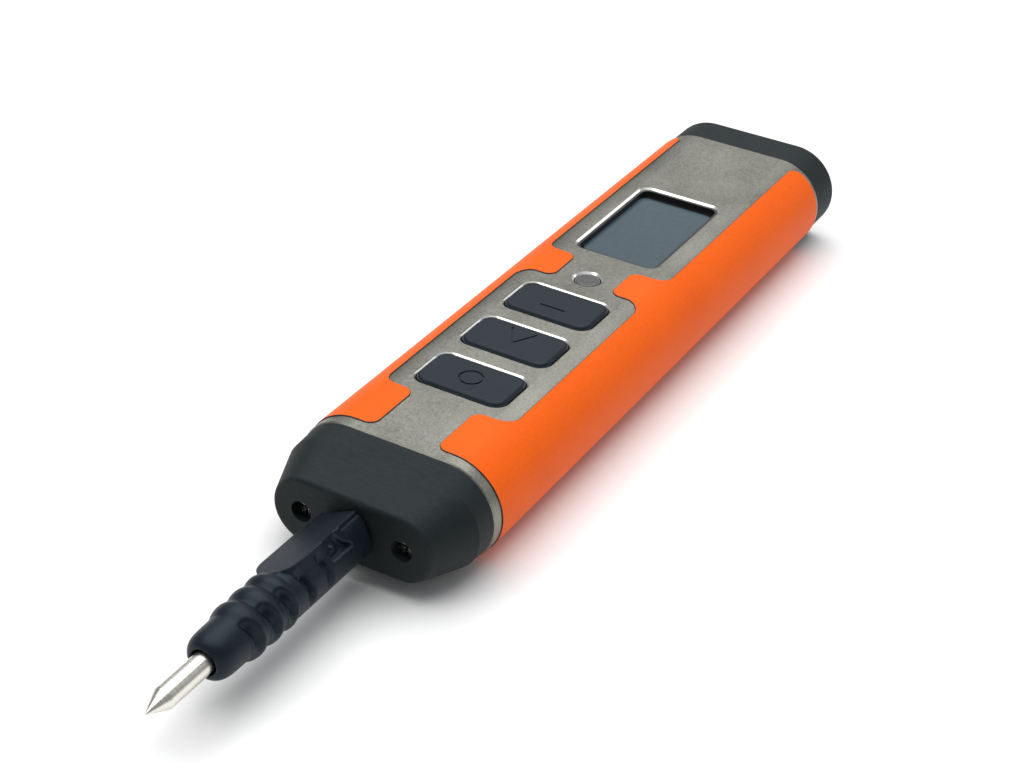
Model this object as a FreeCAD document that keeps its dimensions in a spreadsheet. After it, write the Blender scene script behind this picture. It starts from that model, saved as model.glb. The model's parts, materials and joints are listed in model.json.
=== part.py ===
"""Pen-type moisture meter: a flat-oval steel tube closed by two moulded caps, with three keys,
an indicator and a display on its upper face, and a plug-in pin probe in its front cap.

Every sub-part is modelled about the probe's axis: X across, Y to the rear from the tube's front
edge, Z up from the tube's mid-plane.  Its Placement then moves it to the meter's frame, whose
origin is under the middle of the tube, on the surface that the meter lies on.
"""

import FreeCAD
import Part
import math
import os

import Sketcher

from FreeCAD import Placement, Rotation, Vector

doc = FreeCAD.newDocument("moisture_meter")

# ---------------------------------------------------------------- driving dimensions, in mm

SIZES = [
    ("tube", {
        "tube_width": 40.0,
        "tube_height": 20.0,
        "tube_length": 140.0,
        "tube_wall": 1.5,
        "opening_bevel": 0.4,
        "rim_bevel": 0.25,
    }),
    ("coloured sleeve over the tube", {
        "sleeve_thick": 0.2,
        "front_band": 2.5,
        "rear_band": 1.3,
        "panel_width": 27.0,
        "neck_width": 12.8,
        "front_tab_end": 15.6,
        "led_tab_before": 2.7,
        "led_tab_after": 7.1,
        "tab_corner": 2.0,
        "tab_root": 3.5,
        "sleeve_corner": 3.0,
    }),
    ("keys", {
        "first_key_y": 24.5,
        "key_pitch": 15.75,
        "key_opening_width": 19.0,
        "key_opening_length": 11.3,
        "key_corner": 2.6,
        "key_gap": 0.25,
        "key_rise": 0.4,
        "key_edge": 0.8,
        "key_lip": 1.0,
        "key_lip_thick": 1.3,
        "key_stop_gap": 0.1,
        "key_travel": 0.5,
        "key_guide_gap": 0.25,
        "symbol_depth": 0.25,
        "symbol_line": 0.4,
        "symbol_size": 5.4,
        "ring_diameter": 4.8,
    }),
    ("tact switches under the keys", {
        "switch_side": 6.0,
        "switch_height": 1.8,
        "plunger_width": 2.4,
        "plunger_sink": 0.8,
        "plunger_fit": 0.06,
    }),
    ("indicator", {
        "led_after_keys": 12.5,
        "led_opening": 5.4,
        "led_gap": 0.15,
        "led_lip": 0.7,
        "led_lip_thick": 1.2,
        "led_sink": 0.15,
        "led_edge": 0.5,
        "led_package_length": 3.2,
        "led_package_width": 1.6,
        "led_package_height": 1.1,
    }),
    ("display", {
        "display_after_led": 26.5,
        "display_width": 18.2,
        "display_length": 31.4,
        "display_corner": 2.2,
        "liner_gap": 0.05,
        "liner_wall": 0.45,
        "liner_drop": 0.45,
        "window_thick": 1.0,
        "window_lap": 0.8,
        "glass_thick": 1.8,
        "glass_lap": 1.2,
        "glass_air": 0.1,
        "holder_wall": 1.2,
        "backlight_thick": 1.0,
        "strip_width": 2.0,
    }),
    ("caps", {
        "cap_inset": 0.2,
        "cap_length": 14.0,
        "cap_shoulder": 4.6,
        "shoulder_narrowing": 0.5,
        "shoulder_lowering": 2.5,
        "nose_narrowing": 8.0,
        "nose_lowering": 6.8,
        "nose_edge": 1.0,
        "rear_cap_length": 9.3,
        "rear_cap_edge": 0.9,
        "spigot_length": 8.0,
        "spigot_fit": 0.15,
        "spigot_wall": 2.0,
        "cap_floor": 2.0,
        "seal_width": 1.4,
        "seal_depth": 1.0,
        "seal_y": 3.4,
        "end_play": 0.5,
    }),
    ("cap screws and their inserts", {
        "front_screw_spacing": 20.4,
        "rear_screw_spacing": 29.0,
        "screw_thread": 2.0,
        "screw_hole": 2.3,
        "screw_head": 3.7,
        "screw_head_height": 1.5,
        "screw_well": 4.1,
        "screw_well_depth": 3.2,
        "screw_slot": 0.5,
        "insert_outer": 3.2,
        "insert_length": 4.0,
        "boss_outer": 5.0,
        "boss_length": 9.0,
    }),
    ("chassis, board and cells", {
        "chassis_fit": 0.15,
        "chassis_wall": 1.0,
        "board_z": 3.4,
        "board_thick": 1.0,
        "board_half_gap": 1.5,
        "board_end_gap": 3.0,
        "post_outer": 4.0,
        "post_x": 14.4,
        "post_front_y": 15.0,
        "post_rear_y": 117.5,
        "post_thread": 1.6,
        "post_head": 2.8,
        "post_head_height": 1.0,
        "cell_diameter": 10.5,
        "cell_length": 44.5,
        "cell_gap": 0.2,
        "cell_knob": 3.8,
        "cell_knob_rise": 1.0,
        "contact_thick": 0.4,
        "contact_bow": 0.6,
        "contact_side": 7.0,
        "bulkhead": 1.2,
        "board_rear_gap": 6.0,
        "buzzer_diameter": 8.5,
        "buzzer_height": 3.2,
        "buzzer_hole": 1.6,
    }),
    ("probe", {
        "probe_turn": 26.0,
        "pin_diameter": 4.0,
        "pin_tip_y": 68.1,
        "pin_cone": 4.3,
        "pin_root_y": 44.0,
        "boot_gap": 0.8,
        "boot_block_length": 20.2,
        "boot_block_width": 9.6,
        "boot_block_height": 8.8,
        "boot_block_edge": 0.9,
        "boot_block_under_edge": 2.6,
        "boot_core": 9.0,
        "rib_diameter": 10.3,
        "rib_pitch": 4.5,
        "rib_round": 1.5,
        "nose_neck": 8.7,
        "nose_front": 8.4,
        "nose_start": 48.4,
        "nose_dome_start": 51.6,
        "nose_tip_y": 54.4,
        "socket_outer": 6.0,
        "socket_bore": 4.06,
        "socket_flange": 8.0,
        "socket_flange_thick": 1.0,
        "socket_tail": 2.0,
        "socket_end_wall": 3.5,
        "nut_across": 9.0,
        "nut_thick": 2.0,
        "lug_thick": 0.5,
        "lug_outer": 9.0,
        "lug_width": 4.0,
        "lug_reach": 15.0,
        "plug_length": 15.6,
        "plug_collar": 3.64,
        "plug_edge": 0.6,
        "joiner_outer": 5.4,
        "cage_outer": 3.94,
        "cage_wall": 0.3,
        "cage_length": 12.0,
        "cage_fit": 0.08,
        "cage_slot": 0.5,
    }),
]

sheet = doc.addObject("Spreadsheet::Sheet", "Sizes")


def fill_sheet():
    """Writes one titled block of named cells for each group of sizes."""
    row = 1
    for title, cells in SIZES:
        sheet.set(f"A{row}", title)
        row += 1
        for name, value in cells.items():
            sheet.set(f"A{row}", name)
            sheet.set(f"B{row}", str(value))
            sheet.setAlias(f"B{row}", name)
            row += 1
    doc.recompute()


fill_sheet()


class Dim:
    """A length or angle: the expression that a property is bound to, and its present value."""

    def __init__(self, text, value):
        self.text = text
        self.value = value

    def _join(self, sign, other, value):
        return Dim(f"({self.text} {sign} {other.text})", value)

    def __add__(self, other):
        other = dim(other)
        return self._join("+", other, self.value + other.value)

    def __sub__(self, other):
        other = dim(other)
        return self._join("-", other, self.value - other.value)

    def __mul__(self, other):
        other = dim(other)
        return self._join("*", other, self.value * other.value)

    def __truediv__(self, other):
        other = dim(other)
        return self._join("/", other, self.value / other.value)

    def __radd__(self, other):
        return dim(other) + self

    def __rsub__(self, other):
        return dim(other) - self

    def __rmul__(self, other):
        return dim(other) * self

    def __neg__(self):
        return Dim(f"(-1 * {self.text})", -self.value)


def dim(value):
    """A Dim as it is, or a plain number as a Dim."""
    return value if isinstance(value, Dim) else Dim(f"({float(value)})", float(value))


def size(name):
    """The named cell of the sheet."""
    return Dim(f"Sizes.{name}", float(sheet.get(name)))


def bind(obj, prop, value):
    """Sets a property and ties it to the sheet."""
    obj.setExpression(prop, dim(value).text)


# ---------------------------------------------------------------- sketch and feature helpers

ORIGIN, START, END, CENTRE = (-1, 1), 1, 2, 3
finished = []


def new_body(name):
    return doc.addObject("PartDesign::Body", name)


def sketch_on(body, name, plane, offset=0.0):
    """A sketch on one of the body's origin planes, moved along that plane's normal."""
    sketch = body.newObject("Sketcher::SketchObject", name)
    role = plane + "_Plane"
    support = [f for f in body.Origin.OriginFeatures if f.Role == role][0]
    sketch.AttachmentSupport = [(support, "")]
    sketch.MapMode = "FlatFace"
    bind(sketch, "AttachmentOffset.Base.z", offset)
    return sketch


def constrain(sketch, kind, *args):
    return sketch.addConstraint(Sketcher.Constraint(kind, *args))


def locate(sketch, kind, geometry, point, value):
    """Holds one coordinate of a point at a bound distance from the sketch's origin."""
    index = constrain(sketch, kind, *ORIGIN, geometry, point, value.value)
    sketch.setExpression(f"Constraints[{index}]", value.text)


def measure(sketch, kind, geometry, value):
    """A bound radius or diameter."""
    index = constrain(sketch, kind, geometry, value.value)
    sketch.setExpression(f"Constraints[{index}]", value.text)


def add_circle(sketch, diameter, x=0.0, y=0.0):
    diameter, x, y = dim(diameter), dim(x), dim(y)
    circle = sketch.addGeometry(
        Part.Circle(Vector(x.value, y.value, 0), Vector(0, 0, 1), diameter.value / 2))
    measure(sketch, "Diameter", circle, diameter)
    locate(sketch, "DistanceX", circle, CENTRE, x)
    locate(sketch, "DistanceY", circle, CENTRE, y)


def add_arc(sketch, centre, radius, start, end):
    circle = Part.Circle(centre, Vector(0, 0, 1), radius)
    return sketch.addGeometry(Part.ArcOfCircle(circle, math.radians(start), math.radians(end)))


def add_line(sketch, start, end):
    return sketch.addGeometry(Part.LineSegment(start, end))


def add_stadium(sketch, width, height, y=0.0):
    """A flat oval: two level sides joined by half circles, centred on x = 0."""
    width, height, y = dim(width), dim(height), dim(y)
    radius = height / 2
    reach = (width - height) / 2
    r, c, y0 = radius.value, reach.value, y.value
    right = add_arc(sketch, Vector(c, y0, 0), r, -90, 90)
    top = add_line(sketch, Vector(c, y0 + r, 0), Vector(-c, y0 + r, 0))
    left = add_arc(sketch, Vector(-c, y0, 0), r, 90, 270)
    bottom = add_line(sketch, Vector(-c, y0 - r, 0), Vector(c, y0 - r, 0))
    constrain(sketch, "Tangent", right, END, top, START)
    constrain(sketch, "Tangent", top, END, left, START)
    constrain(sketch, "Tangent", left, END, bottom, START)
    constrain(sketch, "Tangent", bottom, END, right, START)
    constrain(sketch, "Horizontal", top)
    constrain(sketch, "Horizontal", bottom)
    measure(sketch, "Radius", right, radius)
    locate(sketch, "DistanceX", right, CENTRE, reach)
    locate(sketch, "DistanceX", left, CENTRE, -reach)
    locate(sketch, "DistanceY", right, CENTRE, y)


def add_outline(sketch, corners):
    """A closed outline of level and upright sides.  Each corner is (x, y, radius or None)."""
    corners = [(dim(x), dim(y), None if r is None else dim(r)) for x, y, r in corners]
    count = len(corners)
    at = [Vector(x.value, y.value, 0) for x, y, _ in corners]
    way = [(at[(i + 1) % count] - at[i]).normalize() for i in range(count)]
    trim = [0.0 if r is None else r.value for _, _, r in corners]
    sides = []
    for i in range(count):
        after = (i + 1) % count
        side = add_line(sketch, at[i] + way[i] * trim[i], at[after] - way[i] * trim[after])
        sides.append(side)
        x, y, _ = corners[i]
        if abs(way[i].x) > abs(way[i].y):
            constrain(sketch, "Horizontal", side)
            locate(sketch, "DistanceY", side, START, y)
        else:
            constrain(sketch, "Vertical", side)
            locate(sketch, "DistanceX", side, START, x)
    for i in range(count):
        before, radius = i - 1, corners[i][2]
        if radius is None:
            constrain(sketch, "Coincident", sides[before], END, sides[i], START)
            continue
        turn = way[before].cross(way[i]).z
        inward = (way[i] - way[before]) * radius.value
        centre = at[i] + inward
        enter = -way[i] * radius.value
        start = enter if turn > 0 else way[before] * radius.value
        angle = math.degrees(math.atan2(start.y, start.x))
        arc = add_arc(sketch, centre, radius.value, angle, angle + 90)
        first, last = (START, END) if turn > 0 else (END, START)
        constrain(sketch, "Tangent", sides[before], END, arc, first)
        constrain(sketch, "Tangent", arc, last, sides[i], START)
        measure(sketch, "Radius", arc, radius)


def add_rectangle(sketch, width, length, x=0.0, y=0.0, radius=None):
    x, y = dim(x), dim(y)
    half, reach = dim(width) / 2, dim(length) / 2
    add_outline(sketch, [
        (x - half, y - reach, radius),
        (x + half, y - reach, radius),
        (x + half, y + reach, radius),
        (x - half, y + reach, radius),
    ])


def add_polygon(sketch, points):
    """A closed outline of straight sides through bound points."""
    points = [(dim(x), dim(y)) for x, y in points]
    at = [Vector(x.value, y.value, 0) for x, y in points]
    count = len(points)
    sides = [add_line(sketch, at[i], at[(i + 1) % count]) for i in range(count)]
    for i in range(count):
        constrain(sketch, "Coincident", sides[i - 1], END, sides[i], START)
        locate(sketch, "DistanceX", sides[i], START, points[i][0])
        locate(sketch, "DistanceY", sides[i], START, points[i][1])


def extrude(body, kind, sketch, length, towards_normal=True, taper=None):
    """A Pad or Pocket of a bound length.  A pocket's own way is against the sketch's normal."""
    feature = body.newObject("PartDesign::" + kind, f"{sketch.Name}_{kind.lower()}")
    feature.Profile = sketch
    feature.Type = "Length"
    feature.Reversed = not towards_normal if kind == "Pad" else towards_normal
    bind(feature, "Length", length)
    if taper is not None:
        feature.TaperAngle = taper
    sketch.Visibility = False
    body.Tip = feature
    return feature


def pad_rear(body, sketch, length):
    """Adds material towards the rear from a sketch on the XZ plane, whose normal looks forward."""
    return extrude(body, "Pad", sketch, length, towards_normal=False)


def pocket_rear(body, sketch, length):
    return extrude(body, "Pocket", sketch, length, towards_normal=False)


def pad_up(body, sketch, length):
    return extrude(body, "Pad", sketch, length)


def pocket_down(body, sketch, length, taper=None):
    return extrude(body, "Pocket", sketch, length, towards_normal=False, taper=taper)


def revolve(body, kind, sketch):
    """A Revolution or Groove about the probe's axis, from a sketch on the YZ plane."""
    feature = body.newObject("PartDesign::" + kind, f"{sketch.Name}_{kind.lower()}")
    feature.Profile = sketch
    feature.ReferenceAxis = (sketch, ["H_Axis"])
    feature.Angle = 360.0
    sketch.Visibility = False
    body.Tip = feature
    return feature


def dress(body, kind, name, edge_test, amount):
    """A Fillet or Chamfer of the present tip's edges that pass the test."""
    doc.recompute()
    base = body.Tip
    chosen = [f"Edge{i + 1}" for i, e in enumerate(base.Shape.Edges) if edge_test(e)]
    feature = body.newObject("PartDesign::" + kind, name)
    feature.Base = (base, chosen)
    bind(feature, "Radius" if kind == "Fillet" else "Size", amount)
    body.Tip = feature
    return feature


def all_at(axis, value):
    """A test for edges that lie in one plane, square to the axis."""
    return lambda e: all(
        abs(getattr(v.Point, axis) - value) < 1e-4 for v in e.Vertexes
    ) and abs(getattr(e.CenterOfMass, axis) - value) < 1e-4


def on_outside(edge):
    """Whether an edge lies on the tube's outer surface."""
    point = edge.valueAt((edge.FirstParameter + edge.LastParameter) / 2)
    reach = max(abs(point.x) - (size("tube_width").value - size("tube_height").value) / 2, 0.0)
    return abs(math.hypot(reach, point.z) - tube_top.value) < 1e-4


def at_y(y):
    """The offset on the XZ plane that puts a sketch at a distance behind the tube's front edge."""
    return -dim(y)


def block(name, low, span):
    """A box from its low corner and its three sides."""
    box = doc.addObject("Part::Box", name)
    for prop, value in zip(("Length", "Width", "Height"), span):
        bind(box, prop, value)
    for axis, value in zip("xyz", low):
        bind(box, "Placement.Base." + axis, value)
    return box


def rod(name, diameter, length, at, along="y"):
    """A cylinder that runs rearwards or upwards from the centre of its first end."""
    cylinder = doc.addObject("Part::Cylinder", name)
    if along == "y":
        cylinder.Placement = Placement(Vector(0, 0, 0), Rotation(Vector(1, 0, 0), -90))
    bind(cylinder, "Radius", dim(diameter) / 2)
    bind(cylinder, "Height", length)
    for axis, value in zip("xyz", at):
        bind(cylinder, "Placement.Base." + axis, value)
    return cylinder


def cut(name, base, tool):
    result = doc.addObject("Part::Cut", name)
    result.Base = base
    result.Tool = tool
    return result


def fuse(name, shapes):
    result = doc.addObject("Part::MultiFuse", name)
    result.Shapes = shapes
    return result


def group(name, shapes):
    """Separate solids that are one sub-part."""
    result = doc.addObject("Part::Compound", name)
    result.Links = shapes
    return result


def finish(obj, label):
    """Names a sub-part and moves it from the probe's axis to the meter's frame."""
    obj.Label = label
    bind(obj, "Placement.Base.y", -size("tube_length") / 2)
    bind(obj, "Placement.Base.z", axis_height)
    finished.append(obj)
    return obj


# ---------------------------------------------------------------- shared places

axis_height = size("tube_height") / 2 + size("sleeve_thick")
tube_top = size("tube_height") / 2
ceiling = tube_top - size("tube_wall")
inner_width = size("tube_width") - 2 * size("tube_wall")
inner_height = size("tube_height") - 2 * size("tube_wall")
spigot_width = inner_width - 2 * size("spigot_fit")
spigot_height = inner_height - 2 * size("spigot_fit")
chassis_front = size("spigot_length") + size("end_play")
chassis_rear = size("tube_length") - size("spigot_length") - size("end_play")
board_top = size("board_z") + size("board_thick")
key_lip_top = ceiling - size("key_stop_gap")
key_lip_bottom = key_lip_top - size("key_lip_thick")
window_bottom = ceiling - size("window_thick")
glass_top = window_bottom - size("glass_air")
glass_bottom = glass_top - size("glass_thick")
glass_width = size("display_width") + 2 * size("glass_lap")
glass_length = size("display_length") + 2 * size("glass_lap")
cell_z = size("board_z") - size("cell_gap") - size("cell_diameter") / 2
cell_x = (size("cell_diameter") + size("cell_gap")) / 2
key_names = ("front", "middle", "rear")
key_places = [size("first_key_y") + i * size("key_pitch") for i in range(len(key_names))]
led_place = key_places[-1] + size("led_after_keys")
display_place = led_place + size("display_after_led")
SLACK = 1.0


# ---------------------------------------------------------------- housing

def housing_tube():
    """Flat-oval tube with bevelled openings for three keys, the indicator and the display."""
    body = new_body("housing_tube")
    outer = sketch_on(body, "tube_outer", "XZ")
    add_stadium(outer, size("tube_width"), size("tube_height"))
    pad_rear(body, outer, size("tube_length"))
    inner = sketch_on(body, "tube_inner", "XZ")
    add_stadium(inner, inner_width, inner_height)
    pocket_rear(body, inner, size("tube_length"))
    for end, place in (("front", 0.0), ("rear", size("tube_length").value)):
        at_end = all_at("y", place)
        dress(body, "Chamfer", f"tube_{end}_rim",
              lambda e: at_end(e) and on_outside(e), size("rim_bevel"))
    bevel = size("opening_bevel")

    def rectangles(sketch, grow):
        for y in key_places:
            add_rectangle(sketch, size("key_opening_width") + 2 * grow,
                          size("key_opening_length") + 2 * grow, y=y,
                          radius=size("key_corner") + grow)
        add_rectangle(sketch, size("display_width") + 2 * grow,
                      size("display_length") + 2 * grow, y=display_place,
                      radius=size("display_corner") + grow)
        add_circle(sketch, size("led_opening") + 2 * grow, y=led_place)

    openings = sketch_on(body, "tube_openings", "XY", tube_top)
    rectangles(openings, dim(0.0))
    pocket_down(body, openings, size("tube_wall") + SLACK)
    bevels = sketch_on(body, "tube_bevels", "XY", tube_top)
    rectangles(bevels, bevel)
    pocket_down(body, bevels, bevel, taper=-45.0)
    finish(body, "housing_tube")


def colour_sleeve():
    """Thin coloured sleeve round the tube, cut away over the panel that carries the controls."""
    body = new_body("colour_sleeve")
    start, end = size("front_band"), size("tube_length") - size("rear_band")
    thick = size("sleeve_thick")
    outer = sketch_on(body, "sleeve_outer", "XZ", at_y(start))
    add_stadium(outer, size("tube_width") + 2 * thick, size("tube_height") + 2 * thick)
    pad_rear(body, outer, end - start)
    inner = sketch_on(body, "sleeve_inner", "XZ", at_y(start))
    add_stadium(inner, size("tube_width"), size("tube_height"))
    pocket_rear(body, inner, end - start)
    half, neck = size("panel_width") / 2, size("neck_width") / 2
    tab, root, corner = size("tab_corner"), size("tab_root"), size("sleeve_corner")
    panel = sketch_on(body, "sleeve_panel", "XY", tube_top + thick + SLACK)
    front, rear = start - SLACK, end + SLACK
    side = [
        (neck + 2 * tab, front, None),
        (neck + 2 * tab, start, None),
        (neck, start, tab),
        (neck, size("front_tab_end"), tab),
        (half, size("front_tab_end"), root),
        (half, led_place - size("led_tab_before"), root),
        (neck, led_place - size("led_tab_before"), tab),
        (neck, led_place + size("led_tab_after"), tab),
        (half, led_place + size("led_tab_after"), root),
        (half, end, corner),
        (half + 2 * corner, end, None),
        (half + 2 * corner, rear, None),
    ]
    mirrored = [(-x, y, r) for x, y, r in reversed(side)]
    add_outline(panel, side + mirrored)
    pocket_down(body, panel, size("tube_height") / 2 + thick + SLACK)
    finish(body, "colour_sleeve")


# ---------------------------------------------------------------- caps, seals and fastenings

def cap_sections(body, sections):
    """Solid lofted straight through flat ovals, each (y, width, height)."""
    ovals = []
    for number, (y, width, height) in enumerate(sections):
        oval = sketch_on(body, f"{body.Name}_oval_{number}", "XZ", at_y(y))
        add_stadium(oval, width, height)
        oval.Visibility = False
        ovals.append(oval)
    loft = body.newObject("PartDesign::AdditiveLoft", f"{body.Name}_loft")
    loft.Profile = ovals[0]
    loft.Sections = ovals[1:]
    loft.Ruled = True
    body.Tip = loft
    return loft


def add_spigot(body, start, length, floor_at_start):
    """The cap's hollow tail, which fits the tube's bore."""
    name = body.Name
    tail = sketch_on(body, f"{name}_spigot", "XZ", at_y(start))
    add_stadium(tail, spigot_width, spigot_height)
    pad_rear(body, tail, length)
    wall, floor = size("spigot_wall"), size("cap_floor")
    hollow_start = start + floor if floor_at_start else start
    hollow = sketch_on(body, f"{name}_hollow", "XZ", at_y(hollow_start))
    add_stadium(hollow, spigot_width - 2 * wall, spigot_height - 2 * wall)
    pocket_rear(body, hollow, length - floor)


def add_seal_groove(body, start):
    """Groove round a spigot, as wide and deep as its seal."""
    name = body.Name
    groove = sketch_on(body, f"{name}_seal_groove", "XZ", at_y(start))
    add_stadium(groove, spigot_width + 2 * SLACK, spigot_height + 2 * SLACK)
    depth = size("seal_depth")
    add_stadium(groove, spigot_width - 2 * depth, spigot_height - 2 * depth)
    pocket_rear(body, groove, size("seal_width"))


def seal(label, start):
    body = new_body(label)
    ring = sketch_on(body, f"{label}_section", "XZ", at_y(start))
    depth, squeeze = size("seal_depth"), size("spigot_fit")
    add_stadium(ring, spigot_width + squeeze, spigot_height + squeeze)
    add_stadium(ring, spigot_width - 2 * depth, spigot_height - 2 * depth)
    pad_rear(body, ring, size("seal_width"))
    finish(body, label)


def pocket_round(body, name, start, diameter, length, spacing=None):
    """One hole on the axis, or a pair across it, drilled rearwards."""
    hole = sketch_on(body, name, "XZ", at_y(start))
    if spacing is None:
        add_circle(hole, diameter)
    else:
        add_circle(hole, diameter, x=spacing / 2)
        add_circle(hole, diameter, x=-spacing / 2)
    return pocket_rear(body, hole, length)


def front_cap():
    """Solid cap that slopes and narrows to the nose face, bored for the socket and two screws."""
    body = new_body("front_cap")
    inset = size("cap_inset")
    length = size("cap_length")
    width, height = size("tube_width"), size("tube_height")
    cap_sections(body, [
        (dim(0.0), width - 2 * inset, height - 2 * inset),
        (-size("cap_shoulder"), width - size("shoulder_narrowing"),
         height - size("shoulder_lowering")),
        (-length, width - size("nose_narrowing"), height - size("nose_lowering")),
    ])
    dress(body, "Fillet", "front_cap_edge", all_at("y", -length.value), size("nose_edge"))
    add_spigot(body, dim(0.0), size("spigot_length"), floor_at_start=True)
    add_seal_groove(body, size("seal_y"))
    deep = length + size("spigot_length")
    spacing = size("front_screw_spacing")
    pocket_round(body, "front_cap_screw_holes", -length, size("screw_hole"), deep, spacing)
    pocket_round(body, "front_cap_screw_wells", -length, size("screw_well"),
                 size("screw_well_depth"), spacing)
    pocket_round(body, "front_cap_socket_hole", -length, size("socket_outer"), deep)
    pocket_round(body, "front_cap_flange_seat", -length, size("socket_flange"),
                 size("socket_flange_thick"))
    finish(body, "front_cap")


def rear_cap():
    """Shallow cap with a rounded outer edge and two screw wells."""
    body = new_body("rear_cap")
    inset, length = size("cap_inset"), size("rear_cap_length")
    start = size("tube_length")
    crown = sketch_on(body, "rear_cap_crown", "XZ", at_y(start))
    add_stadium(crown, size("tube_width") - 2 * inset, size("tube_height") - 2 * inset)
    pad_rear(body, crown, length)
    dress(body, "Fillet", "rear_cap_edge", all_at("y", (start + length).value),
          size("rear_cap_edge"))
    add_spigot(body, start - size("spigot_length"), size("spigot_length"), floor_at_start=False)
    add_seal_groove(body, start - size("seal_y") - size("seal_width"))
    spacing = size("rear_screw_spacing")
    pocket_round(body, "rear_cap_screw_holes", start - size("spigot_length"), size("screw_hole"),
                 size("spigot_length") + length, spacing)
    pocket_round(body, "rear_cap_screw_wells", start + length - size("screw_well_depth"),
                 size("screw_well"), size("screw_well_depth"), spacing)
    finish(body, "rear_cap")


def cap_screws(label, head_y, head_way, tip_y, spacing):
    """A pair of cross-slotted cheese-head screws.  head_way is 1 where the head looks rearwards."""
    pair = []
    height, head = size("screw_head_height"), size("screw_head")
    slot, depth = size("screw_slot"), size("screw_head_height") / 2
    for side, way in (("left", -1), ("right", 1)):
        x = way * spacing / 2
        if head_way > 0:
            head_start, shank_start, slot_start = head_y, tip_y, head_y + height - depth
            shank_length = head_y - tip_y + height / 2
        else:
            head_start, shank_start, slot_start = head_y - height, head_y - height / 2, head_y - height
            shank_length = tip_y - head_y + height / 2
        name = f"{label}_{side}"
        top = rod(f"{name}_head", head, height, (x, head_start, 0.0))
        shank = rod(f"{name}_shank", size("screw_thread"), shank_length, (x, shank_start, 0.0))
        level = block(f"{name}_slot_level", (x - head / 2, slot_start, -slot / 2),
                      (head, depth, slot))
        upright = block(f"{name}_slot_upright", (x - slot / 2, slot_start, -head / 2),
                        (slot, depth, head))
        cross = fuse(f"{name}_cross", [level, upright])
        pair.append(cut(f"{name}_screw", fuse(f"{name}_blank", [top, shank]), cross))
    finish(group(label, pair), label)


def inserts(label, start, spacing):
    """Brass inserts in the chassis's bosses."""
    pair = []
    for side, way in (("left", -1), ("right", 1)):
        x = way * spacing / 2
        name = f"{label}_{side}"
        outer = rod(f"{name}_outer", size("insert_outer"), size("insert_length"), (x, start, 0.0))
        bore = rod(f"{name}_bore", size("screw_thread"), size("insert_length"), (x, start, 0.0))
        pair.append(cut(f"{name}_ring", outer, bore))
    finish(group(label, pair), label)


# ---------------------------------------------------------------- chassis, board and cells

def chassis():
    """Tray that slides into the tube and carries the board on its rims and the cells inside."""
    body = new_body("chassis")
    fit, wall = size("chassis_fit"), size("chassis_wall")
    length = chassis_rear - chassis_front
    outer = sketch_on(body, "chassis_outer", "XZ", at_y(chassis_front))
    add_stadium(outer, inner_width - 2 * fit, inner_height - 2 * fit)
    pad_rear(body, outer, length)
    trough = sketch_on(body, "chassis_trough", "XZ", at_y(chassis_front))
    around = fit + wall
    add_stadium(trough, inner_width - 2 * around, inner_height - 2 * around)
    pocket_rear(body, trough, length)
    open_top = sketch_on(body, "chassis_open_top", "XY", ceiling + SLACK)
    add_outline(open_top, [
        (-inner_width / 2 - SLACK, chassis_front - SLACK, None),
        (inner_width / 2 + SLACK, chassis_front - SLACK, None),
        (inner_width / 2 + SLACK, chassis_rear + SLACK, None),
        (-inner_width / 2 - SLACK, chassis_rear + SLACK, None),
    ])
    pocket_down(body, open_top, ceiling + SLACK - size("board_z"))
    tray_floor = -inner_height / 2 + fit + wall / 2

    def bosses(name, start, spacing):
        sketch = sketch_on(body, f"chassis_{name}_bosses", "XZ", at_y(start))
        outer_half = size("boss_outer") / 2
        for way in (-1, 1):
            x = way * spacing / 2
            add_outline(sketch, [
                (x - outer_half, tray_floor, None),
                (x + outer_half, tray_floor, None),
                (x + outer_half, outer_half, None),
                (x - outer_half, outer_half, None),
            ])
        pad_rear(body, sketch, size("boss_length"))

    bosses("front", chassis_front, size("front_screw_spacing"))
    rear_start = chassis_rear - size("boss_length")
    bosses("rear", rear_start, size("rear_screw_spacing"))
    posts = sketch_on(body, "chassis_posts", "XY", tray_floor)
    for y in (size("post_front_y"), size("post_rear_y")):
        for way in (-1, 1):
            add_circle(posts, size("post_outer"), x=way * size("post_x"), y=y)
    pad_up(body, posts, size("board_z") - tray_floor)
    wall_sketch = sketch_on(body, "chassis_bulkhead", "XZ", at_y(bulkhead_start))
    half = inner_width / 2 - around - size("spigot_fit")
    add_outline(wall_sketch, [
        (-half, tray_floor, None),
        (half, tray_floor, None),
        (half, dim(0.0), None),
        (-half, dim(0.0), None),
    ])
    pad_rear(body, wall_sketch, size("bulkhead"))
    trim = sketch_on(body, "chassis_trim", "XZ", at_y(chassis_front))
    add_stadium(trim, inner_width - 2 * fit, inner_height - 2 * fit)
    add_rectangle(trim, 2 * inner_width, 2 * inner_height)
    pocket_rear(body, trim, length)
    pocket_round(body, "chassis_front_insert_holes", chassis_front, size("insert_outer"),
                 size("insert_length"), size("front_screw_spacing"))
    pocket_round(body, "chassis_front_screw_holes", chassis_front, size("screw_hole"),
                 size("boss_length") - wall, size("front_screw_spacing"))
    pocket_round(body, "chassis_rear_insert_holes", chassis_rear - size("insert_length"),
                 size("insert_outer"), size("insert_length"), size("rear_screw_spacing"))
    pocket_round(body, "chassis_rear_screw_holes", rear_start + wall, size("screw_hole"),
                 size("boss_length") - wall, size("rear_screw_spacing"))
    post_holes = sketch_on(body, "chassis_post_holes", "XY", size("board_z"))
    for y in (size("post_front_y"), size("post_rear_y")):
        for way in (-1, 1):
            add_circle(post_holes, size("post_thread"), x=way * size("post_x"), y=y)
    pocket_down(body, post_holes, size("boss_length") / 2)
    finish(body, "chassis")


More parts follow.
